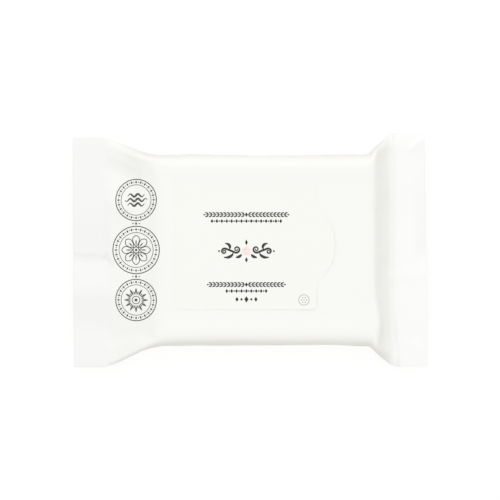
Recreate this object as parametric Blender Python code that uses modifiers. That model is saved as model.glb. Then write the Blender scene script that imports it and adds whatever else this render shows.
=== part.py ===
"""A pack of wet wipes: a flow wrapped film pack, lying on its back, with a resealable peel label.

Metres, +Z up. The origin is under the middle of the pack, on the surface it lies on.
+X runs along the pack, from the loosely filled end to the tightly filled one.
"""

import math

import bmesh
import bpy

MM = 0.001

# The wipes inside give the pack its body
BODY_WIDTH = 102.4 * MM
BODY_HEIGHT = 26.0 * MM
STACK_LENGTH = 116.0 * MM
TOP_CORNER = 5.5 * MM
BOTTOM_CORNER = 5.5 * MM
RIM_RISE = 0.5 * MM
RIM_INSET = 7.5 * MM
RIM_SPREAD = 6.0 * MM

# The film past each end of the wipes, and the flat seal that closes it
LEFT_RUN = 26.4 * MM
RIGHT_RUN = 10.7 * MM
LEFT_SEAL_DEPTH = 17.6 * MM
RIGHT_SEAL_DEPTH = 19.3 * MM
SEAL_THICKNESS = 0.6 * MM
LEFT_SEAL_HEIGHT = 10.8 * MM
RIGHT_SEAL_HEIGHT = 9.4 * MM
RIGHT_SEAL_KICK = 2.6 * MM
KICK_LENGTH = 3.0 * MM
SEAL_DROOP = 1.4 * MM
FILM_SLACK = 2.2 * MM
LEFT_SEAL_GATHER = 2.5 * MM
RIGHT_EDGE_SKEW = 1.6 * MM

# How softly the film turns from one stretch to the next
LEFT_SHOULDER = 7.0 * MM
RIGHT_SHOULDER = 4.0 * MM
UNDER_SHOULDER = 3.0 * MM
ROOT_FOLD = 0.8 * MM
TIGHT_CORNER = 2.0 * MM

# The ears, where the sides flatten out towards the seals, and the tucks beside them
SIDE_INSET = 1.0 * MM
LEFT_EARS = {1: 3.0 * MM, -1: 1.8 * MM}
RIGHT_EARS = {1: 3.6 * MM, -1: 3.6 * MM}
EAR_CORNER = 2.0 * MM

# A tuck's depth, how far it lies from the side, and its spread towards the side and away
LEFT_TUCKS = {
    1: (3.2 * MM, 16.5 * MM, 8.0 * MM, 13.0 * MM),
    -1: (1.6 * MM, 13.0 * MM, 6.0 * MM, 12.0 * MM),
}
RIGHT_TUCKS = {
    1: (1.2 * MM, 12.0 * MM, 6.0 * MM, 10.0 * MM),
    -1: (1.0 * MM, 12.0 * MM, 6.0 * MM, 10.0 * MM),
}

# Slack in the long sides: place along the pack, spread and depth of each hollow
SIDE_HOLLOWS = {
    1: ((14.0 * MM, 30.0 * MM, 0.5 * MM), (-30.0 * MM, 9.0 * MM, 0.25 * MM)),
    -1: ((-6.0 * MM, 24.0 * MM, 0.4 * MM), (36.0 * MM, 8.0 * MM, 0.25 * MM)),
}

# Pleats that run from each seal up to the wipes: place across the pack, spread and height
LEFT_PLEATS = (
    (-37.0 * MM, 7.0 * MM, 0.5 * MM),
    (-15.0 * MM, 5.0 * MM, -0.6 * MM),
    (2.0 * MM, 8.0 * MM, 0.4 * MM),
    (29.0 * MM, 9.0 * MM, 0.5 * MM),
)
RIGHT_PLEATS = (
    (-34.0 * MM, 12.0 * MM, 0.8 * MM),
    (-9.0 * MM, 4.0 * MM, -0.4 * MM),
    (17.0 * MM, 7.0 * MM, -0.5 * MM),
    (33.0 * MM, 6.0 * MM, 0.3 * MM),
)

# Folds across the seals: place across the pack, spread and height of each
LEFT_SEAL_CREASE = (-2.0 * MM, 8.0 * MM, -1.5 * MM)
LEFT_SEAL_WAVES = (
    (24.0 * MM, 16.0 * MM, 0.9 * MM),
    (-22.0 * MM, 8.5 * MM, 1.2 * MM),
    (-41.0 * MM, 8.0 * MM, -0.7 * MM),
)
RIGHT_SEAL_CREASE = (-13.3 * MM, 4.0 * MM, 0.45 * MM)
RIGHT_SEAL_WAVES = (
    (58.0 * MM, 7.0 * MM, 1.1 * MM),
    (20.0 * MM, 13.0 * MM, -0.5 * MM),
    (-34.0 * MM, 15.0 * MM, 0.4 * MM),
)

# The back seam, where the film's two edges meet and lie over to one side
SEAM_WIDTH = 14.0 * MM
SEAM_STEP = 0.4 * MM
SEAM_STEP_RUN = 0.4 * MM
SEAM_EASE = 9.0 * MM
SEAM_STEP_ON_SEAL = 0.1 * MM

# The peel label over the opening
LABEL_LENGTH = 75.2 * MM
LABEL_WIDTH = 68.3 * MM
LABEL_CORNER = 3.2 * MM
LABEL_INSET = 11.0 * MM
LABEL_OFF_CENTRE = 2.65 * MM
LABEL_THICKNESS = 0.3 * MM
LABEL_GAP = 0.3 * MM
TAB_LENGTH = 9.6 * MM
TAB_ROOT_WIDTH = 42.0 * MM
TAB_TIP_WIDTH = 17.0 * MM
TAB_ROOT_CORNER = 3.5 * MM
TAB_TIP_CORNER = 6.0 * MM
LABEL_GRID = 6.0 * MM

# Colours of the film and of the label
FILM_COLOUR = (0.93, 0.93, 0.915, 1.0)
LABEL_COLOUR = (0.935, 0.93, 0.91, 1.0)

# Sizes that follow from the ones above
PACK_LENGTH = LEFT_SEAL_DEPTH + LEFT_RUN + STACK_LENGTH + RIGHT_RUN + RIGHT_SEAL_DEPTH
LEFT_EDGE = -PACK_LENGTH / 2
LEFT_ROOT = LEFT_EDGE + LEFT_SEAL_DEPTH
BODY_LEFT = LEFT_ROOT + LEFT_RUN
BODY_RIGHT = BODY_LEFT + STACK_LENGTH
RIGHT_ROOT = BODY_RIGHT + RIGHT_RUN
RIGHT_EDGE = RIGHT_ROOT + RIGHT_SEAL_DEPTH
CORNER_SAVING = (1 - math.pi / 4) * 2 * (TOP_CORNER + BOTTOM_CORNER)
SEAL_HALF = (BODY_WIDTH + BODY_HEIGHT - CORNER_SAVING + FILM_SLACK) / 2
LABEL_CENTRE_X = BODY_LEFT + LABEL_INSET + LABEL_LENGTH / 2

# How finely the film is divided, and how much of a side a rounded corner may take up
PANEL_STEPS = 24
CORNER_STEPS = 5
EDGE_STEPS = 2
LARGEST_BEND = 0.45


def mix(a, b, share):
    return a + (b - a) * share


def ease(start, end, value):
    """0 before start, 1 after end, and smooth between them."""
    share = min(max((value - start) / (end - start), 0.0), 1.0)
    return share * share * (3 - 2 * share)


def soft_min(a, b, blend):
    """The lower of two heights, rounded where they cross."""
    near = max(blend - abs(a - b), 0.0) / blend
    return min(a, b) - near * near * blend / 4


def soft_max(a, b, blend):
    return -soft_min(-a, -b, blend)


def hump(value, place, spread):
    return math.exp(-(((value - place) / spread) ** 2))


def crease(value, place, spread):
    """A fold with a sharp crest that dies away on both sides."""
    return math.exp(-abs(value - place) / spread)


def folds_at(folds, value):
    """The height that a row of soft folds has at one place."""
    return sum(rise * hump(value, place, spread) for place, spread, rise in folds)


def seal_middle(x):
    """Height of the middle of the seals, and of where they would be further in."""
    if x < (LEFT_ROOT + RIGHT_ROOT) / 2:
        outward = max((LEFT_ROOT - x) / LEFT_SEAL_DEPTH, 0.0)
        return LEFT_SEAL_HEIGHT - SEAL_DROOP * outward
    outward = max((x - RIGHT_ROOT) / RIGHT_SEAL_DEPTH, 0.0)
    kick = RIGHT_SEAL_KICK * ease(RIGHT_ROOT, RIGHT_ROOT + KICK_LENGTH, x)
    return RIGHT_SEAL_HEIGHT + kick - SEAL_DROOP * outward


def top_line(x):
    """Height of the upper film at x, before its folds."""
    rise = BODY_HEIGHT - LEFT_SEAL_HEIGHT
    left = LEFT_SEAL_HEIGHT + rise * (x - LEFT_ROOT) / LEFT_RUN
    fall = BODY_HEIGHT - RIGHT_SEAL_HEIGHT
    right = RIGHT_SEAL_HEIGHT + fall * (RIGHT_ROOT - x) / RIGHT_RUN
    height = soft_min(BODY_HEIGHT, left, LEFT_SHOULDER)
    height = soft_min(height, right, RIGHT_SHOULDER)
    return soft_max(height, seal_middle(x) + SEAL_THICKNESS / 2, ROOT_FOLD)


def bottom_line(x):
    """Height of the lower film at x, before its folds: 0 under the wipes."""
    left = LEFT_SEAL_HEIGHT * (1 - (x - LEFT_ROOT) / LEFT_RUN)
    right = RIGHT_SEAL_HEIGHT * (1 - (RIGHT_ROOT - x) / RIGHT_RUN)
    height = soft_max(left, right, UNDER_SHOULDER)
    height = soft_max(height - UNDER_SHOULDER / 4, 0.0, UNDER_SHOULDER)
    return soft_min(height, seal_middle(x) - SEAL_THICKNESS / 2, ROOT_FOLD)


def fullness(x):
    """1 where the wipes fill the film, 0 at the seals."""
    open_height = top_line(x) - bottom_line(x) - SEAL_THICKNESS
    share = open_height / (BODY_HEIGHT - SEAL_THICKNESS)
    return min(max(share, 0.0), 1.0)


def turning(x):
    """1 half way between the wipes and a seal, and 0 at both."""
    full = fullness(x)
    return 4 * full * (1 - full)


def narrowness(x):
    """1 where the film is as narrow as the wipes, 0 where it is as wide as the seals."""
    if x < 0:
        return fullness(x)
    share = (RIGHT_ROOT - x) / RIGHT_RUN
    return max(soft_min(1.0, share, TIGHT_CORNER / RIGHT_RUN), 0.0)


def half_width(x, side):
    """The flattened film is wider than the body by what its sides took up."""
    gathered = LEFT_SEAL_GATHER if side > 0 and x < 0 else 0.0
    hollow = folds_at(SIDE_HOLLOWS[side], x)
    return mix(SEAL_HALF - gathered, BODY_WIDTH / 2 - hollow, narrowness(x))


def seal_folds(x, y):
    """Height of the folds that run across the seals and fade into the body."""
    if x < 0:
        sharp, waves = LEFT_SEAL_CREASE, LEFT_SEAL_WAVES
    else:
        sharp, waves = RIGHT_SEAL_CREASE, RIGHT_SEAL_WAVES
    height = sharp[2] * crease(y, sharp[0], sharp[1]) + folds_at(waves, y)
    return height * (1 - fullness(x)) ** 2


def pleats(x, y):
    """Height of the pleats where the film turns down from the wipes to a seal."""
    return turning(x) * folds_at(LEFT_PLEATS if x < 0 else RIGHT_PLEATS, y)


def top_relief(x, y):
    """What the upper film's folds add to its height."""
    side = 1 if y > 0 else -1
    depth, offset, near, far = (LEFT_TUCKS if x < 0 else RIGHT_TUCKS)[side]
    inner = half_width(x, side) - abs(y)
    rim = RIM_RISE * fullness(x) * hump(inner, RIM_INSET, RIM_SPREAD)
    tuck = depth * turning(x) * hump(inner, offset, near if inner < offset else far)
    return rim - tuck + pleats(x, y) + seal_folds(x, y)


def seam_relief(x, y):
    """The dips beside the back seam's fold, at y = 0, and beside its free edge."""
    depth = mix(SEAM_STEP_ON_SEAL, SEAM_STEP, fullness(x))
    if y < 0:
        beside = -y
    else:
        beside = y - SEAM_WIDTH
    step = ease(0, SEAM_STEP_RUN, beside)
    return depth * step * (1 - ease(SEAM_STEP_RUN, SEAM_EASE, beside))


def bottom_relief(x, y):
    """What the lower film's folds add to its height."""
    return seam_relief(x, y) - pleats(x, y) + seal_folds(x, y)


def film_top(x, y):
    """Height of the upper film anywhere inside its rounded corners."""
    return top_line(x) + top_relief(x, y)


def bend(before, corner, after, reach, steps):
    """Points of a rounded corner, as a curve that leaves each side at most reach away."""
    points = []
    ends = []
    for other in (before, after):
        share = min(reach / math.dist(corner, other), LARGEST_BEND)
        ends.append([mix(c, o, share) for c, o in zip(corner, other)])
    for i in range(steps + 1):
        t = i / steps
        points.append([
            (1 - t) ** 2 * a + 2 * t * (1 - t) * c + t**2 * b
            for a, c, b in zip(ends[0], corner, ends[1])
        ])
    return points


def quarter(edge, corner, panel, mirrored, full, reach):
    """From the outermost point of the side, round one corner, to the start of the flat panel."""
    soft = mix(SEAL_THICKNESS, BODY_HEIGHT / 4, full)
    fold = bend(mirrored, edge, corner, soft, 2 * EDGE_STEPS)[EDGE_STEPS:]
    turn = bend(edge, corner, panel, reach, CORNER_STEPS)
    middle = [mix(a, b, 0.5) for a, b in zip(fold[-1], turn[0])]
    return fold + [middle] + turn


def seam_places(start, end, evenness):
    """Places across the lower film, closer together at the seam's edges."""
    lines = (
        -SEAM_EASE,
        -SEAM_EASE / 2,
        -SEAM_EASE / 4,
        -SEAM_STEP_RUN,
        0.0,
        SEAM_WIDTH / 2,
        SEAM_WIDTH,
        SEAM_WIDTH + SEAM_STEP_RUN,
        SEAM_WIDTH + SEAM_EASE / 4,
        SEAM_WIDTH + SEAM_EASE / 2,
        SEAM_WIDTH + SEAM_EASE,
    )
    outer = PANEL_STEPS - len(lines) + 1
    before = outer // 2
    after = outer - before
    places = [mix(start, lines[0], i / before) for i in range(before)]
    places += lines
    places += [mix(lines[-1], end, (i + 1) / after) for i in range(after)]
    even = [mix(start, end, i / PANEL_STEPS) for i in range(PANEL_STEPS + 1)]
    return [mix(a, b, evenness) for a, b in zip(places, even)]


def section(x):
    """The film's loop at x: over the top from +Y to -Y, then back along the bottom."""
    top, bottom, full = top_line(x), bottom_line(x), fullness(x)
    ears = LEFT_EARS if x < 0 else RIGHT_EARS
    top_reach = mix(EAR_CORNER, TOP_CORNER, full)
    low_reach = mix(EAR_CORNER, BOTTOM_CORNER, full)
    chains = {}
    for side in (1, -1):
        out = half_width(x, side)
        inset = SIDE_INSET * full + ears[side] * turning(x) + SEAL_THICKNESS
        edge = (side * out, (top + bottom) / 2)
        high = (side * (out - inset), top)
        low = (side * (out - inset), bottom)
        chains[side, "top"] = quarter(edge, high, (0.0, top), low, full, top_reach)
        chains[side, "low"] = quarter(edge, low, (0.0, bottom), high, full, low_reach)
    start, end = chains[1, "top"][-1][0], chains[-1, "top"][-1][0]
    panel = [[mix(start, end, i / PANEL_STEPS), top] for i in range(1, PANEL_STEPS)]
    start, end = chains[-1, "low"][-1][0], chains[1, "low"][-1][0]
    under = [[y, bottom] for y in seam_places(start, end, 1 - full)[1:-1]]
    over = chains[1, "top"] + panel + chains[-1, "top"][::-1]
    back = chains[-1, "low"][1:] + under + chains[1, "low"][:0:-1]
    return [folded(x, y, z, top, bottom) for y, z in over + back]


def folded(x, y, z, top, bottom):
    """A point of the plain section moved by the folds, but not below the surface it lies on.

    The right seal is cut a little askew.
    """
    share = (z - bottom) / (top - bottom)
    z += mix(bottom_relief(x, y), top_relief(x, y), share)
    cut = max((x - RIGHT_ROOT) / RIGHT_SEAL_DEPTH, 0.0)
    x -= RIGHT_EDGE_SKEW * cut * (y / SEAL_HALF + 1) / 2
    return (x, y, max(z, 0.0))


def stations():
    """Places along the pack, closer together where the film turns."""
    spans = (
        (LEFT_EDGE, 5),
        (LEFT_ROOT - 2 * ROOT_FOLD, 3),
        (LEFT_ROOT + 3 * ROOT_FOLD, 7),
        (BODY_LEFT - LEFT_SHOULDER, 6),
        (BODY_LEFT + LEFT_SHOULDER, 14),
        (BODY_RIGHT - RIGHT_SHOULDER, 7),
        (BODY_RIGHT + RIGHT_SHOULDER / 2, 4),
        (RIGHT_ROOT - 2 * ROOT_FOLD, 5),
        (RIGHT_ROOT + KICK_LENGTH, 5),
        (RIGHT_EDGE, 1),
    )
    places = [LEFT_EDGE]
    for (start, count), (end, _) in zip(spans, spans[1:]):
        places += [mix(start, end, (i + 1) / count) for i in range(count)]
    return places


def finish(obj, colour, roughness):
    """Smooth shading and a plain material."""
    material = bpy.data.materials.new(obj.name)
    material.use_nodes = True
    shader = material.node_tree.nodes["Principled BSDF"]
    shader.inputs["Base Color"].default_value = colour
    shader.inputs["Roughness"].default_value = roughness
    shader.inputs["Metallic"].default_value = 0.0
    obj.data.materials.append(material)
    obj.data.shade_smooth()
    obj.data.set_sharp_from_angle(angle=math.radians(50))


def build_film_pack(collection):
    """The film, lofted through its sections and closed along the cut edge of each seal."""
    mesh = bpy.data.meshes.new("film_pack")
    work = bmesh.new()
    loops = [[work.verts.new(point) for point in section(x)] for x in stations()]
    count = len(loops[0])
    for first, second in zip(loops, loops[1:]):
        for i in range(count):
            j = (i + 1) % count
            work.faces.new((first[i], first[j], second[j], second[i]))
    for loop in (loops[0], loops[-1]):
        for i in range(count // 2):
            corners = [loop[i], loop[-i], loop[-i - 1], loop[i + 1]]
            work.faces.new(list(dict.fromkeys(corners)))
    bmesh.ops.recalc_face_normals(work, faces=work.faces)
    work.to_mesh(mesh)
    work.free()
    pack = bpy.data.objects.new("film_pack", mesh)
    collection.objects.link(pack)
    finish(pack, FILM_COLOUR, 0.4)


def label_outline():
    """The label's outline with its rounded pull tab, anticlockwise, from its lower left corner."""
    half_length, half_across = LABEL_LENGTH / 2, LABEL_WIDTH / 2
    tip = half_length + TAB_LENGTH
    corners = (
        ((-half_length, -half_across), LABEL_CORNER),
        ((half_length, -half_across), LABEL_CORNER),
        ((half_length, -TAB_ROOT_WIDTH / 2), TAB_ROOT_CORNER),
        ((tip, -TAB_TIP_WIDTH / 2), TAB_TIP_CORNER),
        ((tip, TAB_TIP_WIDTH / 2), TAB_TIP_CORNER),
        ((half_length, TAB_ROOT_WIDTH / 2), TAB_ROOT_CORNER),
        ((half_length, half_across), LABEL_CORNER),
        ((-half_length, half_across), LABEL_CORNER),
    )
    outline = []
    for i, (corner, radius) in enumerate(corners):
        before = corners[i - 1][0]
        after = corners[(i + 1) % len(corners)][0]
        outline += bend(before, corner, after, radius, CORNER_STEPS)
    return [(x + LABEL_CENTRE_X, y + LABEL_OFF_CENTRE) for x, y in outline]


def build_peel_label(collection):
    """The label: a sheet cut to its outline, laid on the film and given its thickness."""
    mesh = bpy.data.meshes.new("peel_label")
    work = bmesh.new()
    outline = label_outline()
    work.faces.new([work.verts.new((x, y, 0)) for x, y in outline])
    for axis in (0, 1):
        low = min(point[axis] for point in outline)
        high = max(point[axis] for point in outline)
        count = math.ceil((high - low) / LABEL_GRID)
        normal = (1 - axis, axis, 0)
        for i in range(1, count):
            place = mix(low, high, i / count)
            bmesh.ops.bisect_plane(
                work,
                geom=work.verts[:] + work.edges[:] + work.faces[:],
                plane_co=[place * share for share in normal],
                plane_no=normal,
            )
    for vertex in work.verts:
        vertex.co.z = film_top(vertex.co.x, vertex.co.y) + LABEL_GAP
    bmesh.ops.recalc_face_normals(work, faces=work.faces)
    work.to_mesh(mesh)
    work.free()
    label = bpy.data.objects.new("peel_label", mesh)
    collection.objects.link(label)
    thick = label.modifiers.new("thickness", "SOLIDIFY")
    thick.thickness = LABEL_THICKNESS
    thick.offset = 1.0
    finish(label, LABEL_COLOUR, 0.45)


def main():
    for obj in list(bpy.data.objects):
        bpy.data.objects.remove(obj)
    collection = bpy.data.collections.new("wet_wipes_pack")
    bpy.context.scene.collection.children.link(collection)
    build_film_pack(collection)
    build_peel_label(collection)


main()
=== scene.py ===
"""The looks of a wet wipes pack: thin white packaging film drawn over a stack of moist wipes.

Metres, +Z up. +X runs along the pack, from the loosely filled end to the tightly filled one.
The film is lofted as the solid is, then settled onto the stack by a cloth simulation.
"""

import math
import random

import bmesh
import bpy
import numpy as np
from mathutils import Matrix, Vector, noise
from mathutils.bvhtree import BVHTree


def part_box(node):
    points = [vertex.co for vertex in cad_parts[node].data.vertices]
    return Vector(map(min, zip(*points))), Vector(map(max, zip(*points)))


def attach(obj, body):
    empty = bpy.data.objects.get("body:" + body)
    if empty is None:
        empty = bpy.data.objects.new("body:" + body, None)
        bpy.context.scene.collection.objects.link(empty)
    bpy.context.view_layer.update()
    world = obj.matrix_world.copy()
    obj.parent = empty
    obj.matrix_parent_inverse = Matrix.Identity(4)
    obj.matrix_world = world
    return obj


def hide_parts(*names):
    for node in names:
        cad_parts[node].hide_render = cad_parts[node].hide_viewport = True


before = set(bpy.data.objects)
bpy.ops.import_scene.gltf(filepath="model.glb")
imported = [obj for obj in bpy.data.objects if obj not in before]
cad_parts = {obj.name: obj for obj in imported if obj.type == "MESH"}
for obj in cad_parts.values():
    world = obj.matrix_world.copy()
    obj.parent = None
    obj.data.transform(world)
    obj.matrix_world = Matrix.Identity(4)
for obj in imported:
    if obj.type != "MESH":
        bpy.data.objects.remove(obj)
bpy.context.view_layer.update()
film_low, film_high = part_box("film_pack")
label_low, label_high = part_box("peel_label")

MM = 0.001

# The pack's main sizes
LEFT_EDGE = film_low.x
RIGHT_EDGE = film_high.x
BODY_WIDTH = 102.4 * MM
BODY_HEIGHT = 26.0 * MM
LEFT_SEAL_DEPTH = 17.6 * MM
RIGHT_SEAL_DEPTH = 19.3 * MM
LEFT_RUN = 26.4 * MM
RIGHT_RUN = 10.7 * MM
LEFT_ROOT = LEFT_EDGE + LEFT_SEAL_DEPTH
BODY_LEFT = LEFT_ROOT + LEFT_RUN
RIGHT_ROOT = RIGHT_EDGE - RIGHT_SEAL_DEPTH
BODY_RIGHT = RIGHT_ROOT - RIGHT_RUN
SEAL_HALF = film_high.y
SEAL_THICKNESS = 0.4 * MM

# The body's corners, of which the upper ones round off only near the full body, and its low rims
TOP_CORNER = 5.5 * MM
BOTTOM_CORNER = 5.5 * MM
CORNER_ONSET = 12
RIM_RISE = 0.35 * MM
RIM_INSET = 7.5 * MM
RIM_SPREAD = 6.0 * MM

# The seals: their heights, the kick at the right one's root, and how their ends droop and are cut
LEFT_SEAL_HEIGHT = 10.8 * MM
RIGHT_SEAL_HEIGHT = 9.4 * MM
RIGHT_SEAL_KICK = 2.6 * MM
KICK_LENGTH = 3.0 * MM
KICK_LEAD = 0.8 * MM
SEAL_DROOP = 1.4 * MM
LEFT_SEAL_GATHER = 2.5 * MM
LEFT_EDGE_SKEW = 0.6 * MM
RIGHT_EDGE_SKEW = 1.6 * MM

# How softly a slope turns into the body or a seal, and how far the right slope stops short of its
# run, which makes it steeper
LEFT_SHOULDER = 7.0 * MM
RIGHT_SHOULDER = 3.0 * MM
UNDER_SHOULDER = 3.0 * MM
ROOT_FOLD = 0.8 * MM
SHOULDER_LAG = 1.2 * MM

# How the tight end widens to its seal: from this far before its run, along a curve of this power,
# with a soft turn where it leaves the body
TIGHT_LEAD = 1.8 * MM
TIGHT_FLARE = 1.5
TIGHT_CORNER = 1.2 * MM

# Where the film is drawn outwards near the tight end's -Y corner: place, spread and how far
DRAWN = (
    ((BODY_RIGHT, -39.0 * MM), (5.0 * MM, 11.0 * MM), 2.6 * MM),
    ((RIGHT_ROOT, -63.0 * MM), (4.5 * MM, 20.0 * MM), 2.6 * MM),
)

# The right seal's end curls down: how far, how far in, and between which places across it
EDGE_CURL = 2.4 * MM
EDGE_CURL_REACH = 8.0 * MM
EDGE_CURL_START = -12.0 * MM
EDGE_CURL_END = 62.0 * MM

# The ears at the corners, and the tucks beside them
SIDE_INSET = 1.0 * MM
LEFT_EARS = {1: 3.0 * MM, -1: 0.3 * MM}
RIGHT_EARS = {1: 4.6 * MM, -1: 4.2 * MM}
EAR_CORNER = 2.0 * MM

# A tuck's depth, how far it lies from the side, and its spread towards the side and away
LEFT_TUCKS = {
    1: (3.2 * MM, 16.5 * MM, 8.0 * MM, 13.0 * MM),
    -1: (1.0 * MM, 13.0 * MM, 6.0 * MM, 12.0 * MM),
}
RIGHT_TUCKS = {
    1: (1.2 * MM, 12.0 * MM, 6.0 * MM, 10.0 * MM),
    -1: (1.0 * MM, 12.0 * MM, 6.0 * MM, 10.0 * MM),
}

# The tucks run out between these shares of the film's fullness
TUCK_END = (0.6, 0.95)

# Slack in the long sides: place along the pack, spread and depth of each hollow
SIDE_HOLLOWS = {
    1: ((14.0 * MM, 30.0 * MM, 0.5 * MM), (-49.5 * MM, 11.5 * MM, 1.0 * MM)),
    -1: ((-6.0 * MM, 24.0 * MM, 0.4 * MM), (36.0 * MM, 8.0 * MM, 0.25 * MM)),
}

# Folds across the seals and pleats below them: place across the pack, spread and height
LEFT_SEAL_CREASE = (-5.5 * MM, 8.0 * MM, -1.6 * MM)
LEFT_SEAL_WAVES = (
    (24.0 * MM, 16.0 * MM, 0.9 * MM),
    (-22.0 * MM, 8.5 * MM, 1.2 * MM),
    (-41.0 * MM, 8.0 * MM, -0.7 * MM),
)
RIGHT_SEAL_CREASE = (-13.3 * MM, 4.0 * MM, 0.45 * MM)
RIGHT_SEAL_WAVES = (
    (57.0 * MM, 7.0 * MM, 0.3 * MM),
    (20.0 * MM, 13.0 * MM, -0.5 * MM),
    (-34.0 * MM, 15.0 * MM, 0.4 * MM),
)
LEFT_PLEATS = (
    (-37.0 * MM, 7.0 * MM, 0.5 * MM),
    (-15.0 * MM, 5.0 * MM, -0.6 * MM),
    (2.0 * MM, 8.0 * MM, 0.4 * MM),
    (29.0 * MM, 9.0 * MM, 0.5 * MM),
)
RIGHT_PLEATS = (
    (-34.0 * MM, 12.0 * MM, 0.8 * MM),
    (-9.0 * MM, 4.0 * MM, -0.4 * MM),
    (17.0 * MM, 7.0 * MM, -0.5 * MM),
    (33.0 * MM, 6.0 * MM, 0.3 * MM),
)

# How finely the film is drawn, and the most of a side that a rounded corner takes up
STATIONS = 122
PANEL_STEPS = 60
CORNER_STEPS = 8
EDGE_STEPS = 3
PROFILE_SAMPLES = 400
LARGEST_BEND = 0.45

# The stack of wipes inside the film, whose layers lie unevenly at this scale
STACK_STEPS = 50
STACK_CLEARANCE = 0.25 * MM
STACK_ROUNDING = 4.0 * MM
STACK_UNEVENNESS = 0.4 * MM
STACK_LAYERS = (22.0 * MM, 40.0 * MM, 3.2 * MM)

# The simulation, in which the back has more slack than the front, with a change between these
# shares of the height, and how much of its shifts stays
SIM_SCALE = 10.0
SIM_FRAMES = 24
SIM_GAP = 0.2 * MM
FRONT_EXCESS = 0.003
BACK_EXCESS = 0.012
BACK_SHARES = (0.45, 0.8)
SUCTION = 0.3
LEAST_SHIFT = 0.01 * MM
LARGEST_SHIFT = 3.5 * MM
SHIFT_SHARE = 0.35
TIGHT_END_SHARE = 0.1
TIGHT_END = (BODY_RIGHT - 7.0 * MM, BODY_RIGHT - 1.0 * MM)

# Sharp little folds seen from above: from one point to another, with the spread of the steep
# side, which is on the left of the way from point to point, and their height. The other side is
# gentler by the flank
FOLD_FLANK = 3.0
SEAL_LINES = (
    ((-77.0 * MM, -2.0 * MM), (-98.0 * MM, -1.7 * MM), 0.7 * MM, 0.4 * MM),
    ((-71.5 * MM, -8.0 * MM), (-80.0 * MM, -1.6 * MM), 1.1 * MM, 0.8 * MM),
    ((84.0 * MM, 53.0 * MM), (93.8 * MM, 61.2 * MM), 1.0 * MM, 0.6 * MM),
    ((73.0 * MM, -12.6 * MM), (79.0 * MM, -16.6 * MM), 1.2 * MM, 0.5 * MM),
    ((88.5 * MM, -48.0 * MM), (94.5 * MM, -57.0 * MM), 1.3 * MM, 0.3 * MM),
)
SLOPE_LINES = (
    ((-77.5 * MM, 31.0 * MM), (-55.0 * MM, 25.5 * MM), 1.4 * MM, -0.22 * MM),
    ((-77.5 * MM, -19.0 * MM), (-58.0 * MM, -16.0 * MM), 1.3 * MM, -0.25 * MM),
    ((-78.0 * MM, -49.0 * MM), (-58.0 * MM, -41.0 * MM), 1.3 * MM, -0.3 * MM),
    ((-76.0 * MM, 52.0 * MM), (-56.0 * MM, 41.0 * MM), 1.3 * MM, 0.28 * MM),
    ((74.5 * MM, 41.0 * MM), (63.0 * MM, 38.0 * MM), 1.2 * MM, 0.25 * MM),
    ((74.5 * MM, 22.0 * MM), (63.5 * MM, 19.0 * MM), 1.2 * MM, -0.28 * MM),
    ((74.5 * MM, 5.0 * MM), (64.5 * MM, 7.5 * MM), 1.0 * MM, 0.2 * MM),
    ((74.5 * MM, -31.0 * MM), (63.5 * MM, -27.0 * MM), 1.2 * MM, -0.3 * MM),
    ((74.5 * MM, -45.0 * MM), (64.0 * MM, -40.0 * MM), 1.1 * MM, 0.3 * MM),
)
TAB_LINES = (
    ((41.0 * MM, -5.5 * MM), (48.5 * MM, -12.5 * MM), 0.8 * MM, -0.12 * MM),
    ((33.0 * MM, -8.6 * MM), (38.2 * MM, -4.2 * MM), 0.7 * MM, -0.1 * MM),
    ((34.6 * MM, -13.0 * MM), (39.5 * MM, -9.4 * MM), 0.7 * MM, 0.09 * MM),
)

# Slack folds along each long side, which fade out between these depths in from it, and pulls
# that fan out over it from its ears
SIDE_SEED = 31
SIDE_DEPTHS = (2.0 * MM, 7.0 * MM)
SIDE_FOLDS = 20
SIDE_FOLD_BAND = (0.15, 0.85)
SIDE_FOLD_LENGTHS = (14.0 * MM, 46.0 * MM)
SIDE_FOLD_SPREADS = (0.8 * MM, 1.6 * MM)
SIDE_FOLD_HEIGHT = 0.42 * MM
SIDE_FOLD_LEAN = 0.16
EAR_PULLS = 6
EAR_PULL_BAND = (0.06, 0.94)
EAR_PULL_INSET = 2.0 * MM
EAR_PULL_FANNING = 0.12
EAR_PULL_REACHES = (0.0 * MM, 22.0 * MM)
EAR_PULL_HEIGHT = 0.5 * MM
EAR_PULL_SHARES = (0.5, 1.0)

# The back seam, a fin folded flat against the back
SEAM_WIDTH = 14.0 * MM
SEAM_RAISE = 0.32 * MM
SEAM_THICKNESS = 0.2 * MM
SEAM_EASE = 9.0 * MM
SEAM_GAP = 0.05 * MM
SEAM_STEPS = 8

# The peel label
LABEL_WIDTH = label_high.y - label_low.y
LABEL_LEFT = label_low.x
LABEL_TIP = label_high.x
LABEL_MIDDLE = (label_low.y + label_high.y) / 2
TAB_LENGTH = 9.6 * MM
LABEL_CORNER = 3.2 * MM
TAB_ROOT_WIDTH = 42.0 * MM
TAB_TIP_WIDTH = 17.0 * MM
TAB_ROOT_CORNER = 3.5 * MM
TAB_TIP_CORNER = 6.0 * MM
LABEL_THICKNESS = 0.11 * MM
LABEL_GAP = 0.04 * MM
LABEL_GRID = 1.2 * MM
TAB_LIFT = 0.14 * MM
RIM_LIFT = 0.08 * MM
RIM_LIFT_WIDTH = 1.5 * MM
RIM_LIFT_REACH = (-28.0 * MM, -4.0 * MM)
CURL_LIFT = 0.2 * MM
CURL_REACH = 16.0 * MM

# Edges that turn by more than these degrees stay sharp
FILM_SHARP = 60
SHEET_SHARP = 50

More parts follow.
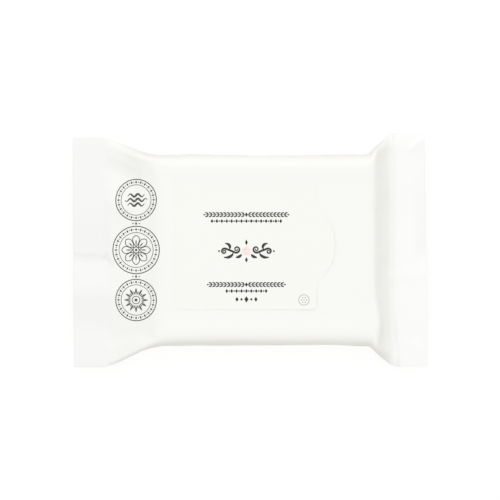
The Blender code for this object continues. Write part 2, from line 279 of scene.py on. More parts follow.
# The print, drawn in millimetres: ink shapes a hair above the film and the label. A badge is its
# row and radius, a garland its row and leaves, and a string of beads its row and count
INK_LIFT = 0.02
INK_STEP = 0.45
BADGE_COLUMN = -60.6
BADGES = ((26.6, 11.0), (0.0, 12.6), (-26.6, 11.0))
BADGE_LINE = 0.5
BADGE_FINE_LINE = 0.32
BADGE_SPACING = 2.45
BADGE_BORDER = 0.867
BADGE_INSIDE = 0.735
BADGE_MOTIF = 0.62
LABEL_MIDLINE = -1.9
GARLANDS = ((18.7, 11), (-18.3, 10))
GARLAND_PITCH = 1.9
GARLAND_START = 0.6
BEADS = ((15.3, 15), (-21.7, 9))
BEAD_PITCH = 2.6
LOZENGE_ROW = -26.1
SCROLL_ROW = -0.6
SCROLL_SIZE = 1.1
CORNER_RING = (28.5, -26.4)
CORNER_RING_RADIUS = 2.75

# Colours, and where the film's own gives way to the seals'
FILM_TINT = (0.92, 0.925, 0.905, 1)
# Left seal: darker by painted shade; right seal: lighter by painted light; their cool hue is their
# own
LEFT_SEAL_TINT_AND_SHADE = (0.902, 0.905, 0.905, 1)
RIGHT_SEAL_TINT_AND_LIGHT = (0.947, 0.95, 0.95, 1)
LEFT_TINT_AND_SHADE_REACH = (LEFT_ROOT - 2.0 * MM, LEFT_ROOT + 6.0 * MM)
RIGHT_TINT_AND_LIGHT_REACH = (RIGHT_ROOT - 1.0 * MM, RIGHT_ROOT + 2.0 * MM)
LABEL_TINT = (0.92, 0.925, 0.892, 1)
BADGE_INK = (0.06, 0.058, 0.05, 1)
LABEL_INK = (0.012, 0.012, 0.011, 1)
BLOSSOM_INK = (0.92, 0.72, 0.69, 1)
RING_INK = (0.42, 0.42, 0.4, 1)

# Finishes: the range of roughness, the scale and depth of each grain, the clouds that vary the
# roughness and the ink, and how much paler the ink gets there
FILM_ROUGHNESS = (0.34, 0.46)
FILM_GRAIN = ((900.0, 0.012 * MM), (160.0, 0.05 * MM))
LABEL_ROUGHNESS = (0.3, 0.4)
LABEL_GRAIN = ((1100.0, 0.008 * MM), (120.0, 0.03 * MM))
INK_ROUGHNESS = (0.36, 0.5)
CLOUD_SCALE = 55.0
CLOUD_RANGE = (0.35, 0.65)
INK_CLOUD_SCALE = 900.0
PALER_BY = 1.15
PALER_FROM = 0.012

# The ribs pressed into the seals
CRIMP_RIBS = 160.0
CRIMP_DEPTH = 0.01 * MM
CRIMP_FADE = 0.6 * MM
CRIMP_ZONES = (
    (LEFT_EDGE + 1.5 * MM, LEFT_EDGE + 12.5 * MM),
    (RIGHT_EDGE - 13.5 * MM, RIGHT_EDGE - 2.5 * MM),
)

# The light, strongest from this side
LIGHT_SIDE = (-0.03, 0.55, 0.83)
SKY_LOW = (0.5, 0.485, 0.45, 1)
SKY_HIGH = (1.08, 1.08, 1.08, 1)
LAMP_DISTANCE = 2.6
LAMP_POWER = 6.0
LAMP_SIZE = 1.2
FLOOR_SCATTER = (0.64, 0.585, 0.5, 1)
FLOOR_WHITE = 1.03
FLOOR_SHADOW = 0.16
FLOOR_HALF = 3.0
FLOOR_DROP = 0.1 * MM

# The floor is open where the pack lies on it, so that light reaches the back in a view from beneath
OPEN_LOW = Vector((-50.0 * MM, -47.0 * MM))
OPEN_HIGH = Vector((64.0 * MM, 46.5 * MM))

# The camera looks straight down, and takes in this width
VIEW_WIDTH = 266.9 * MM
VIEW_DISTANCE = 1.5
SENSOR = 36.0


def add_object(name, data):
    made = bpy.data.objects.new(name, data)
    bpy.context.scene.collection.objects.link(made)
    return made


def mix(a, b, share):
    return a + (b - a) * share


def ease(start, end, value):
    """0 before start, 1 after end, and smooth between them."""
    share = min(max((value - start) / (end - start), 0.0), 1.0)
    return share * share * (3 - 2 * share)


def soft_min(a, b, blend):
    near = max(blend - abs(a - b), 0.0) / blend
    return min(a, b) - near * near * blend / 4


def soft_max(a, b, blend):
    return -soft_min(-a, -b, blend)


def hump(value, place, spread):
    return math.exp(-(((value - place) / spread) ** 2))


def crease(value, place, spread):
    return math.exp(-abs(value - place) / spread)


def folds_at(folds, value):
    return sum(rise * hump(value, place, spread) for place, spread, rise in folds)


def seal_middle(x):
    """Height of the middle of the seals, and of where they would be further in."""
    if x < (LEFT_ROOT + RIGHT_ROOT) / 2:
        outward = max((LEFT_ROOT - x) / LEFT_SEAL_DEPTH, 0.0)
        return LEFT_SEAL_HEIGHT - SEAL_DROOP * outward
    outward = max((x - RIGHT_ROOT) / RIGHT_SEAL_DEPTH, 0.0)
    kick = RIGHT_SEAL_KICK * ease(-KICK_LEAD, KICK_LENGTH - KICK_LEAD, x - RIGHT_ROOT)
    return RIGHT_SEAL_HEIGHT + kick - SEAL_DROOP * outward


def top_line(x):
    """Height of the upper film at x, before its folds."""
    rise = BODY_HEIGHT - LEFT_SEAL_HEIGHT
    left = LEFT_SEAL_HEIGHT + rise * (x - LEFT_ROOT) / LEFT_RUN
    fall = BODY_HEIGHT - RIGHT_SEAL_HEIGHT
    right = RIGHT_SEAL_HEIGHT + fall * (RIGHT_ROOT - x) / (RIGHT_RUN - SHOULDER_LAG)
    height = soft_min(BODY_HEIGHT, left, LEFT_SHOULDER)
    height = soft_min(height, right, RIGHT_SHOULDER)
    return soft_max(height, seal_middle(x) + SEAL_THICKNESS / 2, ROOT_FOLD)


def bottom_line(x):
    """Height of the lower film at x, before its folds: 0 under the wipes."""
    left = LEFT_SEAL_HEIGHT * (1 - (x - LEFT_ROOT) / LEFT_RUN)
    right = RIGHT_SEAL_HEIGHT * (1 - (RIGHT_ROOT - x) / RIGHT_RUN)
    height = soft_max(left, right, UNDER_SHOULDER)
    height = soft_max(height - UNDER_SHOULDER / 4, 0.0, UNDER_SHOULDER)
    return soft_min(height, seal_middle(x) - SEAL_THICKNESS / 2, ROOT_FOLD)


def fullness(x):
    """1 where the wipes fill the film, 0 at the seals."""
    open_height = top_line(x) - bottom_line(x) - SEAL_THICKNESS
    share = open_height / (BODY_HEIGHT - SEAL_THICKNESS)
    return min(max(share, 0.0), 1.0)


def turning(x):
    """1 half way between the wipes and a seal, and 0 at both."""
    full = fullness(x)
    return 4 * full * (1 - full)


def narrowness(x):
    """1 where the film is as narrow as the wipes, 0 where it is as wide as the seals."""
    if x < 0:
        return fullness(x)
    share = (RIGHT_ROOT - x) / (RIGHT_RUN + TIGHT_LEAD)
    return max(soft_min(1.0, share, TIGHT_CORNER / RIGHT_RUN), 0.0) ** TIGHT_FLARE


def half_width(x, side):
    """The flattened film is wider than the body by what its sides took up."""
    gathered = LEFT_SEAL_GATHER if side > 0 and x < 0 else 0.0
    hollow = folds_at(SIDE_HOLLOWS[side], x)
    return mix(SEAL_HALF - gathered, BODY_WIDTH / 2 - hollow, narrowness(x))


def seal_folds(x, y):
    """Height of the folds that run across the seals and fade into the body."""
    if x < 0:
        sharp, waves = LEFT_SEAL_CREASE, LEFT_SEAL_WAVES
    else:
        sharp, waves = RIGHT_SEAL_CREASE, RIGHT_SEAL_WAVES
    height = sharp[2] * crease(y, sharp[0], sharp[1]) + folds_at(waves, y)
    return height * (1 - fullness(x)) ** 2


def pleats(x, y):
    return turning(x) * folds_at(LEFT_PLEATS if x < 0 else RIGHT_PLEATS, y)


def top_relief(x, y):
    """What the upper film's folds add to its height."""
    side = 1 if y > 0 else -1
    depth, offset, near, far = (LEFT_TUCKS if x < 0 else RIGHT_TUCKS)[side]
    inner = half_width(x, side) - abs(y)
    rim = RIM_RISE * fullness(x) * hump(inner, RIM_INSET, RIM_SPREAD)
    tuck = depth * turning(x) * hump(inner, offset, near if inner < offset else far)
    tuck *= 1 - ease(*TUCK_END, fullness(x))
    return rim - tuck + pleats(x, y) + seal_folds(x, y)


def bottom_relief(x, y):
    """What the lower film's folds add to its height."""
    return seal_folds(x, y) - pleats(x, y)


def bend(before, corner, after, reach, steps):
    """Points of a rounded corner, as a curve that leaves each side at most reach away."""
    points = []
    ends = []
    for other in (before, after):
        share = min(reach / math.dist(corner, other), LARGEST_BEND)
        ends.append([mix(c, o, share) for c, o in zip(corner, other)])
    for i in range(steps + 1):
        t = i / steps
        points.append([
            (1 - t) ** 2 * a + 2 * t * (1 - t) * c + t**2 * b
            for a, c, b in zip(ends[0], corner, ends[1])
        ])
    return points


def quarter(edge, corner, panel, mirrored, full, reach):
    """From the outermost point of the side, round one corner, to the start of the flat panel."""
    soft = mix(SEAL_THICKNESS, BODY_HEIGHT / 4, full)
    fold = bend(mirrored, edge, corner, soft, 2 * EDGE_STEPS)[EDGE_STEPS:]
    turn = bend(edge, corner, panel, reach, CORNER_STEPS)
    between = [[mix(a, b, i / 3) for a, b in zip(fold[-1], turn[0])] for i in (1, 2)]
    return fold + between + turn


def section(x):
    """The film's loop at x: over the top from +Y to -Y, then back along the bottom."""
    top, bottom, full = top_line(x), bottom_line(x), fullness(x)
    ears = LEFT_EARS if x < 0 else RIGHT_EARS
    top_reach = mix(EAR_CORNER, TOP_CORNER, full**CORNER_ONSET)
    low_reach = mix(EAR_CORNER, BOTTOM_CORNER, full)
    chains = {}
    for side in (1, -1):
        out = half_width(x, side)
        inset = SIDE_INSET * full + ears[side] * (turning(x) + (1 - full) ** 2) + SEAL_THICKNESS
        edge = (side * out, (top + bottom) / 2)
        high = (side * (out - inset), top)
        low = (side * (out - inset), bottom)
        chains[side, "top"] = quarter(edge, high, (0.0, top), low, full, top_reach)
        chains[side, "low"] = quarter(edge, low, (0.0, bottom), high, full, low_reach)
    panels = []
    for name, height, first, last in (("top", top, 1, -1), ("low", bottom, -1, 1)):
        start, end = chains[first, name][-1][0], chains[last, name][-1][0]
        panels.append([[mix(start, end, i / PANEL_STEPS), height] for i in range(1, PANEL_STEPS)])
    over = chains[1, "top"] + panels[0] + chains[-1, "top"][::-1]
    back = chains[-1, "low"][1:] + panels[1] + chains[1, "low"][:0:-1]
    return [folded(x, y, z, top, bottom) for y, z in over + back]


def folded(x, y, z, top, bottom):
    """A point of the plain section moved by the folds, with the seals' ends cut a little askew."""
    share = (z - bottom) / (top - bottom)
    z += mix(bottom_relief(x, y), top_relief(x, y), share)
    right_cut = max((x - RIGHT_ROOT) / RIGHT_SEAL_DEPTH, 0.0)
    left_cut = max((LEFT_ROOT - x) / LEFT_SEAL_DEPTH, 0.0)
    x -= RIGHT_EDGE_SKEW * right_cut * (y / SEAL_HALF + 1) / 2
    x += LEFT_EDGE_SKEW * left_cut * (1 - y / SEAL_HALF) / 2
    curled = ease(EDGE_CURL_START, 0, y) * ease(EDGE_CURL_END, 0, y)
    z -= EDGE_CURL * curled * ease(RIGHT_EDGE - EDGE_CURL_REACH, RIGHT_EDGE, x)
    joined = max(share, ease(BODY_RIGHT, RIGHT_ROOT, x))
    x += joined * sum(
        reach * hump(x, place[0], spread[0]) * hump(y, place[1], spread[1])
        for place, spread, reach in DRAWN
    )
    return (x, y, max(z, 0.0))


def loft(name, loops, capped):
    """A tube of faces through loops of points, closed at its ends if capped."""
    work = bmesh.new()
    rings = [[work.verts.new(point) for point in loop] for loop in loops]
    count = len(rings[0])
    for first, second in zip(rings, rings[1:]):
        for i in range(count):
            j = (i + 1) % count
            work.faces.new((first[i], first[j], second[j], second[i]))
    if capped:
        for ring in (rings[0], rings[-1]):
            for i in range(count // 2):
                corners = [ring[i], ring[-i], ring[-i - 1], ring[i + 1]]
                work.faces.new(list(dict.fromkeys(corners)))
    bmesh.ops.recalc_face_normals(work, faces=work.faces)
    mesh = bpy.data.meshes.new(name)
    work.to_mesh(mesh)
    work.free()
    return add_object(name, mesh)


def stack_loops():
    """The stack of wipes inside the film: its sections, drawn in and made a little uneven."""
    start = BODY_LEFT - LEFT_SHOULDER / 4
    end = BODY_RIGHT + RIGHT_SHOULDER / 4
    loops = []
    for i in range(STACK_STEPS + 1):
        x = mix(start, end, i / STACK_STEPS)
        near_end = max(STACK_ROUNDING - min(x - start, end - x), 0.0)
        rounded = STACK_ROUNDING - math.sqrt(STACK_ROUNDING**2 - near_end**2)
        drawn_in = STACK_CLEARANCE + rounded
        loop = []
        for _, y, z in section(x):
            layers = noise.noise(Vector([c / s for c, s in zip((x, y, z), STACK_LAYERS)]))
            inward = drawn_in + STACK_UNEVENNESS * (0.5 + layers) * abs(y) / (BODY_WIDTH / 2)
            y -= math.copysign(min(inward, abs(y)), y)
            middle = BODY_HEIGHT / 2
            z = middle + (z - middle) * (1 - drawn_in / middle)
            loop.append((x, y, z))
        loops.append(loop)
    return loops


def settle_film():
    """The film's points after a cloth simulation in which it is drawn onto the stack."""
    places = [mix(LEFT_EDGE, RIGHT_EDGE, i / STATIONS) for i in range(STATIONS + 1)]
    loops = [section(x) for x in places]
    start = np.array(loops)
    scaled = start * SIM_SCALE
    film = loft("film_sheet", scaled.tolist(), False)
    stack = loft("wipes_stack", (np.array(stack_loops()) * SIM_SCALE).tolist(), True)
    held = film.vertex_groups.new(name="held")
    slack = film.vertex_groups.new(name="slack")
    count = len(loops[0])
    for i, x in enumerate(places):
        if x < LEFT_ROOT - ROOT_FOLD or x > RIGHT_ROOT + ROOT_FOLD:
            held.add(list(range(i * count, (i + 1) * count)), 1.0, "REPLACE")
        for j, (_, _, z) in enumerate(loops[i]):
            share = (z - bottom_line(x)) / (top_line(x) - bottom_line(x))
            slack.add([i * count + j], 1 - ease(*BACK_SHARES, share), "REPLACE")
    stack.modifiers.new("collision", "COLLISION")
    stack.collision.thickness_outer = SIM_GAP * SIM_SCALE
    stack.collision.cloth_friction = 5
    cloth = film.modifiers.new("cloth", "CLOTH")
    film_physics(cloth)
    scene = bpy.context.scene
    scene.frame_end = SIM_FRAMES
    for number in range(1, SIM_FRAMES + 1):
        scene.frame_set(number)
    settled = film.evaluated_get(bpy.context.evaluated_depsgraph_get()).to_mesh()
    end = np.array([vertex.co for vertex in settled.vertices]).reshape(start.shape) / SIM_SCALE
    for made in (film, stack):
        bpy.data.objects.remove(made)
    scene.frame_set(1)
    return places, start, end


def film_physics(cloth):
    settings = cloth.settings
    settings.quality = 6
    settings.mass = 0.1
    settings.tension_stiffness = 60
    settings.compression_stiffness = 60
    settings.shear_stiffness = 30
    settings.bending_stiffness = 5
    settings.tension_damping = 5
    settings.compression_damping = 5
    settings.shear_damping = 5
    settings.bending_damping = 0.5
    settings.air_damping = 2
    settings.vertex_group_mass = "held"
    settings.vertex_group_shrink = "slack"
    settings.shrink_min = -FRONT_EXCESS
    settings.shrink_max = -BACK_EXCESS
    settings.use_pressure = True
    settings.uniform_pressure_force = -SUCTION
    settings.effector_weights.gravity = 0
    collision = cloth.collision_settings
    collision.distance_min = SIM_GAP * SIM_SCALE
    collision.collision_quality = 3
    collision.use_self_collision = False


def seam_lift(y):
    """How far the back film rides up over the folded seam."""
    outside = max(-y, y - SEAM_WIDTH, 0.0)
    return SEAM_RAISE * (1 - ease(0, SEAM_EASE, outside))


def film_loops():
    """The settled film, its shifts limited so that its layers stay apart, its back over the seam."""
    places, start, end = settle_film()
    shift = end - start
    length = np.linalg.norm(shift, axis=2)
    for i, x in enumerate(places):
        room = SHIFT_SHARE * (top_line(x) - bottom_line(x)) - SEAL_THICKNESS / 4
        limit = min(LARGEST_SHIFT, room) * mix(1, TIGHT_END_SHARE, ease(*TIGHT_END, x))
        limit = max(limit, LEAST_SHIFT)
        share = limit * np.tanh(length[i] / limit) / np.maximum(length[i], 1e-9)
        shift[i] *= share[:, None]
    loops = (start + shift).tolist()
    for i, x in enumerate(places):
        middle = (top_line(x) + bottom_line(x)) / 2
        for point in loops[i]:
            low = 1 - ease(0, middle, point[2])
            point[2] = max(point[2], 0.0) + low * fullness(x) * seam_lift(point[1])
    return loops


def relief(lines, u, v):
    """Heights at the places u, v of folds that run from one point to another."""
    total = np.zeros_like(u)
    for (au, av), (bu, bv), spread, rise in lines:
        length = math.dist((au, av), (bu, bv))
        along = ((u - au) * (bu - au) + (v - av) * (bv - av)) / length**2
        aside = ((u - au) * (bv - av) - (v - av) * (bu - au)) / length / spread
        crest = np.exp(-((aside / np.where(aside < 0, 1.0, FOLD_FLANK)) ** 2))
        total += rise * crest * np.sqrt(np.sin(np.pi * np.clip(along, 0, 1)))
    return total


def side_lines(side):
    """Folds on one long side, as lines along the pack and up it."""
    chance = random.Random(SIDE_SEED + side)
    lines = []
    for _ in range(SIDE_FOLDS):
        x = chance.uniform(BODY_LEFT, BODY_RIGHT)
        z = chance.uniform(*SIDE_FOLD_BAND) * BODY_HEIGHT
        half = chance.uniform(*SIDE_FOLD_LENGTHS) / 2
        climb = chance.uniform(-SIDE_FOLD_LEAN, SIDE_FOLD_LEAN) * half
        rise = chance.uniform(-SIDE_FOLD_HEIGHT, SIDE_FOLD_HEIGHT)
        spread = chance.uniform(*SIDE_FOLD_SPREADS)
        lines.append(((x - half, z - climb), (x + half, z + climb), spread, rise))
    ends = (
        (LEFT_ROOT, BODY_LEFT, LEFT_SEAL_HEIGHT, 1),
        (RIGHT_ROOT, BODY_RIGHT, RIGHT_SEAL_HEIGHT, -1),
    )
    for root, body, height, inward in ends:
        for i in range(EAR_PULLS):
            z = mix(*EAR_PULL_BAND, (i + 0.5) / EAR_PULLS) * BODY_HEIGHT
            start = (root + inward * EAR_PULL_INSET, mix(height, z, EAR_PULL_FANNING))
            reach = body + inward * chance.uniform(*EAR_PULL_REACHES)
            rise = EAR_PULL_HEIGHT * chance.uniform(*EAR_PULL_SHARES) * (1 if i % 2 else -1)
            lines.append((start, (reach, z), chance.uniform(*SIDE_FOLD_SPREADS), rise))
    return lines


def crumple(skin):
    """Work the fine folds into the film: over its upper side, its seals and its long sides."""
    points = np.empty(3 * len(skin.data.vertices))
    skin.data.vertices.foreach_get("co", points)
    points = points.reshape(-1, 3)
    x, y, z = points.T
    places = [mix(LEFT_EDGE, RIGHT_EDGE, i / PROFILE_SAMPLES) for i in range(PROFILE_SAMPLES + 1)]
    middle = np.interp(x, places, [(top_line(p) + bottom_line(p)) / 2 for p in places])
    full = np.interp(x, places, [fullness(p) for p in places])
    sealed = (x < LEFT_ROOT) | (x > RIGHT_ROOT)
    lift = relief(SEAL_LINES + SLOPE_LINES + TAB_LINES, x, y)
    for side in (1, -1):
        width = np.interp(x, places, [half_width(p, side) for p in places])
        inner = width - side * y - SIDE_DEPTHS[0]
        depth = np.clip(inner / (SIDE_DEPTHS[1] - SIDE_DEPTHS[0]), 0, 1)
        share = (1 - depth**2 * (3 - 2 * depth)) * np.sqrt(full)
        y += side * share * relief(side_lines(side), x, z)
    z += np.where(sealed | (z > middle), lift, 0.0)
    skin.data.vertices.foreach_set("co", points.ravel())
    skin.data.update()


def build_film(material):
    skin = loft("film_skin", film_loops(), True)
    skin.data.materials.append(material)
    skin.data.shade_smooth()
    finer = skin.modifiers.new("finer", "SUBSURF")
    finer.levels = 1
    finer.render_levels = 1
    apply_modifiers(skin)
    crumple(skin)
    skin.data.set_sharp_from_angle(angle=math.radians(FILM_SHARP))
    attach(skin, "root")
    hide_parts("film_pack")
    return skin


def apply_modifiers(piece):
    """Replace the piece's mesh by what its modifiers make of it."""
    evaluated = piece.evaluated_get(bpy.context.evaluated_depsgraph_get())
    mesh = bpy.data.meshes.new_from_object(evaluated)
    piece.modifiers.clear()
    piece.data = mesh


class Surface:
    """The heights of a piece's upper and lower sides, found by meeting it from above and below."""

    def __init__(self, piece):
        work = bmesh.new()
        work.from_mesh(piece.data)
        self.tree = BVHTree.FromBMesh(work)
        work.free()

    def height(self, x, y):
        return self.tree.ray_cast(Vector((x, y, 2 * BODY_HEIGHT)), Vector((0, 0, -1)))[0].z

    def under(self, x, y):
        return self.tree.ray_cast(Vector((x, y, -BODY_HEIGHT)), Vector((0, 0, 1)))[0].z


def build_back_seam(film, material):
    """The fin seam along the back: a strip folded flat, from one end of the pack to the other."""
    start = LEFT_EDGE + RIGHT_EDGE_SKEW
    end = RIGHT_EDGE - RIGHT_EDGE_SKEW
    stations = [mix(LEFT_EDGE, RIGHT_EDGE, i / STATIONS) for i in range(STATIONS + 1)]
    rows = [SEAM_WIDTH * j / SEAM_STEPS for j in range(SEAM_STEPS + 1)]
    loops = []
    for x in (start, *(place for place in stations if start < place < end), end):
        near = [film.under(x, y) - SEAM_GAP for y in rows]
        upper = [(x, y, z) for y, z in zip(rows, near)]
        lower = [(x, y, z - SEAM_THICKNESS) for y, z in zip(rows, near)]
        loops.append(upper + lower[::-1])
    seam = loft("back_seam", loops, True)
    seam.data.materials.append(material)
    seam.data.shade_smooth()
    seam.data.set_sharp_from_angle(angle=math.radians(SHEET_SHARP))
    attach(seam, "root")


def label_outline():
    """The label's outline with its pull tab, anticlockwise, from its lower left corner."""
    right = LABEL_TIP - TAB_LENGTH
    half = LABEL_WIDTH / 2
    corners = (
        ((LABEL_LEFT, -half), LABEL_CORNER),
        ((right, -half), LABEL_CORNER),
        ((right, -TAB_ROOT_WIDTH / 2), TAB_ROOT_CORNER),
        ((LABEL_TIP, -TAB_TIP_WIDTH / 2), TAB_TIP_CORNER),
        ((LABEL_TIP, TAB_TIP_WIDTH / 2), TAB_TIP_CORNER),
        ((right, TAB_ROOT_WIDTH / 2), TAB_ROOT_CORNER),
        ((right, half), LABEL_CORNER),
        ((LABEL_LEFT, half), LABEL_CORNER),
    )
    outline = []
    for i, (corner, radius) in enumerate(corners):
        before = corners[i - 1][0]
        after = corners[(i + 1) % len(corners)][0]
        outline += bend(before, corner, after, radius, CORNER_STEPS)
    return [(x, y + LABEL_MIDDLE) for x, y in outline]


def build_label(film, material):
    """The label: a sheet laid on the film, with its tab, lower rim and one corner lifting."""
    work = bmesh.new()
    outline = label_outline()
    work.faces.new([work.verts.new((x, y, 0)) for x, y in outline])
    for axis in (0, 1):
        low = min(point[axis] for point in outline)
        high = max(point[axis] for point in outline)
        count = math.ceil((high - low) / LABEL_GRID)
        normal = (1 - axis, axis, 0)
        for i in range(1, count):
            place = mix(low, high, i / count)
            bmesh.ops.bisect_plane(
                work,
                geom=work.verts[:] + work.edges[:] + work.faces[:],
                plane_co=[place * share for share in normal],
                plane_no=normal,
            )
    lower = LABEL_MIDDLE - LABEL_WIDTH / 2
    corner = (LABEL_TIP - TAB_LENGTH, lower)
    for vertex in work.verts:
        x, y = vertex.co.x, vertex.co.y
        lift = TAB_LIFT * ease(LABEL_TIP - TAB_LENGTH, LABEL_TIP, x)
        rim = 1 - ease(0, RIM_LIFT_WIDTH, y - lower)
        lift += RIM_LIFT * rim * ease(*RIM_LIFT_REACH, x)
        lift += CURL_LIFT * (1 - ease(0, CURL_REACH, math.dist((x, y), corner)))
        vertex.co.z = film.height(x, y) + LABEL_GAP + lift
    bmesh.ops.recalc_face_normals(work, faces=work.faces)
    mesh = bpy.data.meshes.new("label_sheet")
    work.to_mesh(mesh)
    work.free()
    label = add_object("label_sheet", mesh)
    label.data.materials.append(material)
    thick = label.modifiers.new("thickness", "SOLIDIFY")
    thick.thickness = LABEL_THICKNESS
    thick.offset = 1.0
    apply_modifiers(label)
    label.data.shade_smooth()
    label.data.set_sharp_from_angle(angle=math.radians(SHEET_SHARP))
    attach(label, "root")
    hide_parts("peel_label")
    return label


class Print:
    """Flat ink shapes, drawn in millimetres and then laid on a surface."""

    def __init__(self):
        self.points = []
        self.faces = []

    def line(self, path, width, closed=False):
        """A stroke along a path; width is a size, or a function of the share of the way along."""
        path = evenly(path, closed)
        first = len(self.points)
        count = len(path)
        for i, (x, y) in enumerate(path):
            before = path[i - 1] if closed or i > 0 else path[0]
            after = path[(i + 1) % count] if closed or i < count - 1 else path[-1]
            dx, dy = after[0] - before[0], after[1] - before[1]
            half = (width(i / (count - 1)) if callable(width) else width) / 2
            half /= math.hypot(dx, dy)
            self.points.append((x - dy * half, y + dx * half))
            self.points.append((x + dy * half, y - dx * half))
        for i in range(count if closed else count - 1):
            a, b = first + 2 * i, first + 2 * ((i + 1) % count)
            self.faces.append((a, a + 1, b + 1, b))

    def ring(self, centre, radius, width):
        steps = math.ceil(2 * math.pi * radius / INK_STEP)
        circle = [polar(centre, radius, 360 * i / steps) for i in range(steps)]
        self.line(circle, width, closed=True)

    def dot(self, centre, long, wide=None, turn=0.0):
        """A disc, or with a second size a lozenge that is long along its turn."""
        sides = 12 if wide is None else 4
        reaches = (long, long if wide is None else wide)
        first = len(self.points)
        self.points.append(centre)
        for i in range(sides):
            self.points.append(polar(centre, reaches[i % 2], turn + 360 * i / sides))
            self.faces.append((first, first + 1 + i, first + 1 + (i + 1) % sides))

    def lay(self, name, surface, material):
        """One mesh of all the shapes, a hair above the surface."""
        corners = []
        for x, y in self.points:
            corners.append((x * MM, y * MM, surface.height(x * MM, y * MM) + INK_LIFT * MM))
        mesh = bpy.data.meshes.new(name)
        mesh.from_pydata(corners, [], self.faces)
        mesh.update()
        mesh.materials.append(material)
        mesh.shade_smooth()
        piece = add_object(name, mesh)
        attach(piece, "root")


def polar(centre, radius, angle):
    a = math.radians(angle)
    return (centre[0] + radius * math.cos(a), centre[1] + radius * math.sin(a))


def evenly(path, closed):
    """The path with points close enough together to follow the film."""
    if closed:
        path = path + [path[0]]
    made = [path[0]]
    for start, end in zip(path, path[1:]):
        steps = max(1, math.ceil(math.dist(start, end) / INK_STEP))
        for i in range(1, steps + 1):
            made.append((mix(start[0], end[0], i / steps), mix(start[1], end[1], i / steps)))
    return made[:-1] if closed else made


def curve(points):
    """A smooth path through a few chosen points."""
    ends = [points[0], *points, points[-1]]
    made = []
    steps = 12
    for a, b, c, d in zip(ends, ends[1:], ends[2:], ends[3:]):
        for i in range(steps):
            t = i / steps
            made.append(tuple(
                q + t / 2 * (r - p + t * (2 * p - 5 * q + 4 * r - s + t * (3 * q - p - 3 * r + s)))
                for p, q, r, s in zip(a, b, c, d)
            ))
    return [*made, points[-1]]


def volute(centre, wide, narrow, start, sweep):
    """A spiral that winds in from one radius to another."""
    steps = 30
    made = []
    for i in range(steps + 1):
        share = i / steps
        made.append(polar(centre, mix(wide, narrow, share**0.8), start + sweep * share))
    return made


def placed(points, centre, turn=0.0, mirror=1, size=1.0):
    """Points drawn about the origin, brought to their size, side, turn and place."""
    made = []
    for x, y in points:
        radius = size * math.hypot(x, y)
        angle = math.degrees(math.atan2(y, x))
        if mirror < 0:
            angle = 180 - angle
        made.append(polar(centre, radius, angle + turn))
    return made


def swelling(width, fine=0.2):
    """A pen stroke that starts and ends fine."""
    return lambda share: width * (fine + (1 - fine) * math.sin(math.pi * share))


def draw_badge_frame(ink, centre, radius):
    """A round border: lozenges and dots between two rings."""
    ink.ring(centre, radius, BADGE_LINE)
    ink.ring(centre, radius * BADGE_INSIDE, BADGE_FINE_LINE)
    count = round(2 * math.pi * radius * BADGE_BORDER / BADGE_SPACING)
    for i in range(count):
        angle = 360 * i / count
        ink.dot(polar(centre, radius * BADGE_BORDER, angle), 0.9, 0.52, angle)
        ink.dot(polar(centre, radius * BADGE_BORDER, angle + 180 / count), 0.3)


def draw_flower(ink, centre, size):
    """An open flower with eight petals."""
    petal = curve(((0.22, 0), (0.45, 0.17), (0.75, 0.24), (0.93, 0.12), (1.0, 0)))
    mirrored = [(x, -y) for x, y in petal]
    for angle in range(0, 360, 45):
        for side in (petal, mirrored):
            ink.line(placed(side, centre, angle, 1, size), 0.42)
        ink.line(placed(((0.32, 0), (0.7, 0)), centre, angle, 1, size), swelling(0.65))
    ink.ring(centre, 0.2 * size, 0.4)
    ink.dot(centre, 0.09 * size)


def draw_waves(ink, centre, size):
    """Three waves, one above the other."""
    steps = 40
    for row, reach in ((0.36, 0.68), (0.0, 0.9), (-0.36, 0.68)):
        path = []
        for i in range(steps + 1):
            x = mix(-reach, reach, i / steps)
            path.append((x, row + 0.11 * math.sin(2 * math.pi * x / 0.6)))
        ink.line(placed(path, centre, 0, 1, size), swelling(1.15))


def draw_sun(ink, centre, size):
    """A sun with long and short rays by turns."""
    ink.ring(centre, 0.3 * size, 0.4)
    ink.dot(centre, 0.12 * size)
    for i in range(24):
        reach, width = (0.95, 1.0) if i % 2 == 0 else (0.7, 0.7)
        ink.line(placed(((0.42, 0), (reach, 0)), centre, 15 * i, 1, size), swelling(width, 0.1))


def build_badges(surface, material):
    """Three round badges down the film's sloping end, with a small ornament between them."""
    ink = Print()
    for (row, radius), motif in zip(BADGES, (draw_waves, draw_flower, draw_sun)):
        centre = (BADGE_COLUMN, row)
        draw_badge_frame(ink, centre, radius)
        motif(ink, centre, radius * BADGE_MOTIF)
    for (row, radius), (next_row, next_radius) in zip(BADGES, BADGES[1:]):
        between = (row - radius + next_row + next_radius) / 2
        ink.dot((BADGE_COLUMN, between), 0.6, 0.95)
        for side in (1, -1):
            ink.dot((BADGE_COLUMN + 1.7 * side, between), 0.36)
    ink.lay("badge_print", surface, material)


def draw_garland(ink, row, leaves):
    """Pairs of leaves that point away from a lozenge in the middle, along a fine stem."""
    half = (leaves + GARLAND_START) * GARLAND_PITCH
    ink.line([(LABEL_MIDLINE - half, row), (LABEL_MIDLINE + half, row)], 0.26)
    ink.dot((LABEL_MIDLINE, row), 0.8, 1.25)
    leaf = curve(((0.0, 0.1), (0.55, 0.75), (1.75, 1.2)))
    for side in (1, -1):
        for i in range(leaves):
            foot = (LABEL_MIDLINE + side * (i + GARLAND_START) * GARLAND_PITCH, row)
            for up in (1, -1):
                ink.line([(foot[0] + side * x, row + up * y) for x, y in leaf], swelling(0.75, 0.2))
        ink.dot((LABEL_MIDLINE + side * (half + 0.3), row), 0.42)


def draw_beads(ink, row, count):
    """Lozenges and dots by turns."""
    for i in range(count):
        x = LABEL_MIDLINE + (i - (count - 1) / 2) * BEAD_PITCH
        ink.dot((x, row), 0.75, 1.1)
        if i < count - 1:
            ink.dot((x + BEAD_PITCH / 2, row), 0.42)


